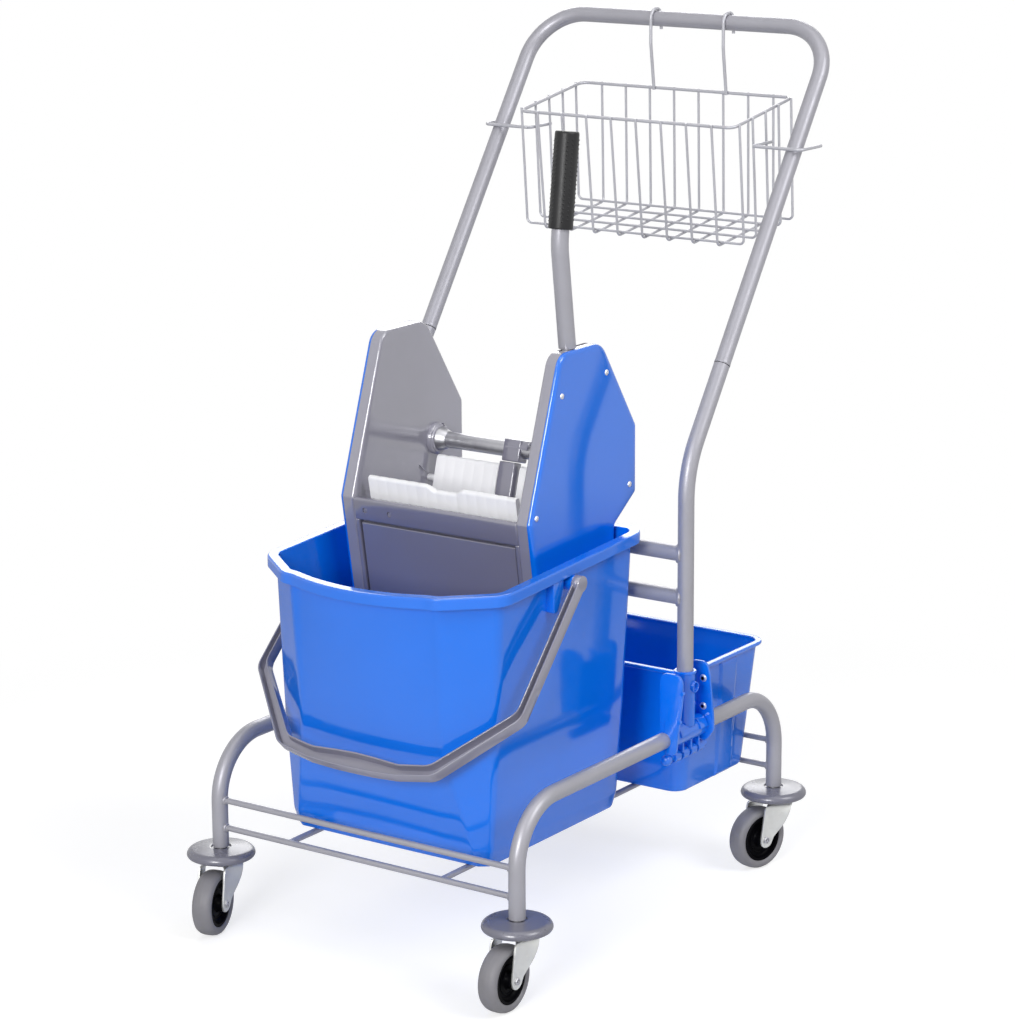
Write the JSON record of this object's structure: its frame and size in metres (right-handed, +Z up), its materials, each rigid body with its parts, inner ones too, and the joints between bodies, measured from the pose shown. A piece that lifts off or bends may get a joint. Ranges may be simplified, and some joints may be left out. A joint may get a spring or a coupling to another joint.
{
  "type": "cleaning trolley",
  "caption": "Cleaning trolley: tube frame with push handle on swivel castors, carrying a bucket with a lever wringer, a tray and a hanging wire basket.",
  "frame": {"origin": "on the floor, under the middle of the overall length and width", "axes": "+Z up; -Y to the front, where the bucket is; +Y to the push handle; +X to the right of a person facing along +Y"},
  "size_m": [0.5, 0.7469, 1.0211],
  "materials": {
    "frame_paint": "silver-grey paint, satin",
    "blue_plastic": "bright blue moulded plastic",
    "grey_plastic": "blue-grey moulded plastic",
    "white_plastic": "white moulded plastic",
    "bumper_plastic": "grey moulded plastic",
    "zinc": "zinc plated",
    "screw_steel": "bright plated",
    "tyre": "grey moulded tread",
    "hub_plastic": "black moulded plastic",
    "grip_rubber": "black textured grip",
    "basket_wire": "silver coated wire"
  },
  "bodies": {
    "frame": {"bumper_front_left": "bumper_plastic", "bumper_front_right": "bumper_plastic", "bumper_rear_left": "bumper_plastic", "bumper_rear_right": "bumper_plastic", "castor_stems": "zinc", "clamp_left": "blue_plastic", "clamp_pin_left": "blue_plastic", "clamp_pin_right": "blue_plastic", "clamp_right": "blue_plastic", "clamp_screws": "screw_steel", "cross_rods": "frame_paint", "crossbar_lower": "frame_paint", "crossbar_upper": "frame_paint", "handle_loop": "frame_paint", "rack_rods": "frame_paint", "side_frame_left": "frame_paint", "side_frame_right": "frame_paint", "upright_left": "frame_paint", "upright_right": "frame_paint"},
    "bucket": {"bucket": "blue_plastic"},
    "bail": {"bail": "grey_plastic"},
    "tray": {"tray": "blue_plastic"},
    "wringer": {"cheek_left": "grey_plastic", "cheek_right": "grey_plastic", "cover_left": "blue_plastic", "cover_right": "blue_plastic", "cover_screws": "screw_steel", "front_panel": "grey_plastic", "panel_screws": "screw_steel", "front_jaw": "white_plastic", "wringer_floor": "white_plastic", "shaft_bushes": "grey_plastic"},
    "lever": {"shaft": "zinc", "press_arm": "grey_plastic", "rear_jaw": "white_plastic", "lever": "frame_paint", "grip": "grip_rubber"},
    "basket": {"basket_rim": "basket_wire", "basket_long_wires": "basket_wire", "basket_cross_wires": "basket_wire", "basket_hooks": "basket_wire", "basket_arms": "basket_wire"},
    "castor_front_right": {"fork_front_right": "zinc", "axle_front_right": "screw_steel"},
    "wheel_front_right": {"hub_front_right": "hub_plastic", "tyre_front_right": "tyre"},
    "castor_front_left": {"fork_front_left": "zinc", "axle_front_left": "screw_steel"},
    "wheel_front_left": {"hub_front_left": "hub_plastic", "tyre_front_left": "tyre"},
    "castor_rear_right": {"fork_rear_right": "zinc", "axle_rear_right": "screw_steel"},
    "wheel_rear_right": {"hub_rear_right": "hub_plastic", "tyre_rear_right": "tyre"},
    "castor_rear_left": {"fork_rear_left": "zinc", "axle_rear_left": "screw_steel"},
    "wheel_rear_left": {"hub_rear_left": "hub_plastic", "tyre_rear_left": "tyre"}
  },
  "joints": [
    {"name": "swivel_front_right", "type": "hinge", "parent": "frame", "child": "castor_front_right", "pos_m": [0.21, -0.30825, 0.08], "axis": [0, 0, 1], "continuous": true},
    {"name": "spin_front_right", "type": "hinge", "parent": "castor_front_right", "child": "wheel_front_right", "pos_m": [0.21071, -0.33524, 0.038], "axis": [0.9997, 0.0262, 0], "continuous": true},
    {"name": "swivel_front_left", "type": "hinge", "parent": "frame", "child": "castor_front_left", "pos_m": [-0.21, -0.30825, 0.08], "axis": [0, 0, 1], "continuous": true},
    {"name": "spin_front_left", "type": "hinge", "parent": "castor_front_left", "child": "wheel_front_left", "pos_m": [-0.20256, -0.3342, 0.038], "axis": [0.9613, 0.2756, 0], "continuous": true},
    {"name": "swivel_rear_right", "type": "hinge", "parent": "frame", "child": "castor_rear_right", "pos_m": [0.21, 0.23875, 0.08], "axis": [0, 0, 1], "continuous": true},
    {"name": "spin_rear_right", "type": "hinge", "parent": "castor_rear_right", "child": "wheel_rear_right", "pos_m": [0.20256, 0.2128, 0.038], "axis": [0.9613, -0.2756, 0], "continuous": true},
    {"name": "swivel_rear_left", "type": "hinge", "parent": "frame", "child": "castor_rear_left", "pos_m": [-0.21, 0.23875, 0.08], "axis": [0, 0, 1], "continuous": true},
    {"name": "spin_rear_left", "type": "hinge", "parent": "castor_rear_left", "child": "wheel_rear_left", "pos_m": [-0.20718, 0.2119, 0.038], "axis": [0.9945, 0.1045, 0], "continuous": true},
    {"name": "bucket_lift", "type": "slide", "parent": "frame", "child": "bucket", "axis": [0, 0, 1], "range_m": [0, 0.15]},
    {"name": "bail_swing", "type": "hinge", "parent": "bucket", "child": "bail", "pos_m": [0, -0.13375, 0.4325], "axis": [-1, 0, 0], "range_deg": [0, 115]},
    {"name": "wringer_lift", "type": "slide", "parent": "bucket", "child": "wringer", "axis": [0, 0, 1], "range_m": [0, 0.2]},
    {"name": "lever_pull", "type": "hinge", "parent": "wringer", "child": "lever", "pos_m": [0, -0.00775, 0.5397], "axis": [-1, 0, 0], "range_deg": [0, 34]},
    {"name": "tray_lift", "type": "slide", "parent": "frame", "child": "tray", "axis": [0, 0, 1], "range_m": [0, 0.15]},
    {"name": "basket_lift", "type": "slide", "parent": "frame", "child": "basket", "axis": [0, 0, 1], "range_m": [0, 0.03]}
  ]
}
